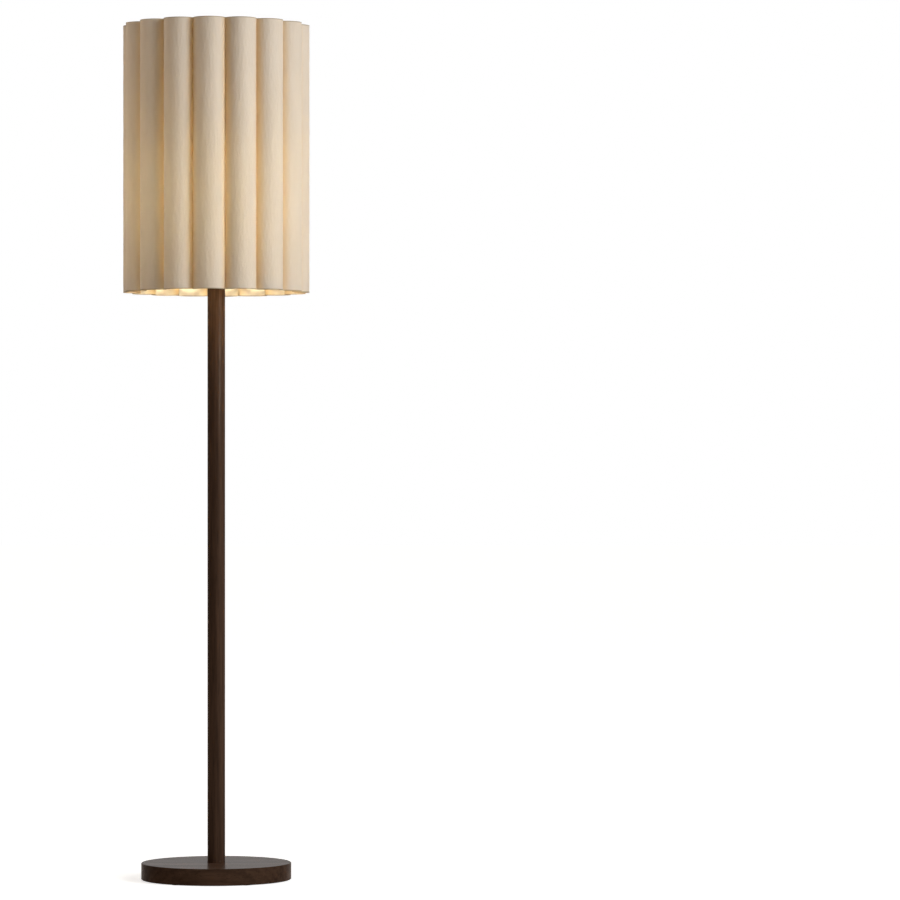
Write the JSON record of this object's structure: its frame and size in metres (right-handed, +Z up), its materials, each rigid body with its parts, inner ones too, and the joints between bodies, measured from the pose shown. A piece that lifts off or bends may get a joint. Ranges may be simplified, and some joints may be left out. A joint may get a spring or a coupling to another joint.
{
  "type": "floor lamp",
  "caption": "Floor lamp with a round wooden pole on a round wooden base and a tall drum shade of half-round vertical flutes, carried by a harp over the lamp holder.",
  "frame": {"origin": "on the floor, at the foot of the lamp's axis", "axes": "+Z up along the pole, -Y the front with the switch knob, +Y the back with the cord gland"},
  "size_m": [0.35, 0.35, 1.6],
  "materials": {
    "dark_wood": "satin walnut stain",
    "felt": "pressed felt",
    "ballast_steel": "raw plate",
    "black_steel": "black powder coat",
    "zinc_steel": "zinc plated",
    "black_plastic": "moulded",
    "block_plastic": "moulded",
    "lead_sheath": "smooth",
    "brass": "satin brass",
    "dark_phenolic": "moulded",
    "bulb_cap_metal": "nickel plated",
    "bulb_white": "satin",
    "circuit_board": "coated board",
    "light_board": "white mask",
    "opal_dome": "opal",
    "frame_enamel": "cream enamel",
    "shade_sheet": "creased laminated sheet"
  },
  "bodies": {
    "lamp": {"base_disc": "dark_wood", "pole": "dark_wood", "felt_feet": "felt", "base_weight": "ballast_steel", "base_cover": "black_steel", "cover_screws": "zinc_steel", "block_screw": "zinc_steel", "terminal_screws": "zinc_steel", "bottom_washer": "zinc_steel", "bottom_nut": "zinc_steel", "top_nut": "zinc_steel", "cord_gland": "black_plastic", "gland_nut": "black_plastic", "terminal_block": "block_plastic", "internal_lead": "lead_sheath", "terminal_tubes": "brass", "lamp_pipe": "brass", "pole_cap": "brass", "harp_saddle": "brass", "holder_cap": "brass", "holder_shell": "brass", "screw_shell": "brass", "centre_contact": "brass", "shell_liner": "dark_phenolic", "holder_body": "dark_phenolic"},
    "switch": {"switch_shaft": "zinc_steel", "switch_knob": "black_plastic"},
    "bulb": {"bulb_cap": "bulb_cap_metal", "bulb_insulator": "black_plastic", "bulb_contact": "brass", "bulb_body": "bulb_white", "bulb_driver": "circuit_board", "led_board": "light_board", "bulb_dome": "opal_dome"},
    "harp": {"harp_wire": "brass", "harp_stud": "brass"},
    "left_lock": {"left_sleeve": "brass"},
    "right_lock": {"right_sleeve": "brass"},
    "shade": {"spider": "frame_enamel", "top_ring": "frame_enamel", "bottom_ring": "frame_enamel", "flute_01": "shade_sheet", "flute_02": "shade_sheet", "flute_03": "shade_sheet", "flute_04": "shade_sheet", "flute_05": "shade_sheet", "flute_06": "shade_sheet", "flute_07": "shade_sheet", "flute_08": "shade_sheet", "flute_09": "shade_sheet", "flute_10": "shade_sheet", "flute_11": "shade_sheet", "flute_12": "shade_sheet", "flute_13": "shade_sheet", "flute_14": "shade_sheet", "flute_15": "shade_sheet", "flute_16": "shade_sheet"},
    "top_knob": {"finial": "brass"}
  },
  "joints": [
    {"name": "switch_turn", "type": "hinge", "parent": "lamp", "child": "switch", "pos_m": [0, -0.03, 1.1761], "axis": [0, -1, 0], "continuous": true},
    {"name": "bulb_out", "type": "slide", "parent": "lamp", "child": "bulb", "axis": [0, 0, 1], "range_m": [0, 0.03]},
    {"name": "harp_lift", "type": "slide", "parent": "lamp", "child": "harp", "axis": [0, 0, 1], "range_m": [0, 0.02]},
    {"name": "left_sleeve_lift", "type": "slide", "parent": "harp", "child": "left_lock", "axis": [0, 0, 1], "range_m": [0, 0.012]},
    {"name": "right_sleeve_lift", "type": "slide", "parent": "harp", "child": "right_lock", "axis": [0, 0, 1], "range_m": [0, 0.012]},
    {"name": "shade_lift", "type": "slide", "parent": "harp", "child": "shade", "axis": [0, 0, 1], "range_m": [0, 0.47]},
    {"name": "finial_turn", "type": "hinge", "parent": "shade", "child": "top_knob", "pos_m": [0, 0, 1.55], "axis": [0, 0, 1], "continuous": true}
  ]
}
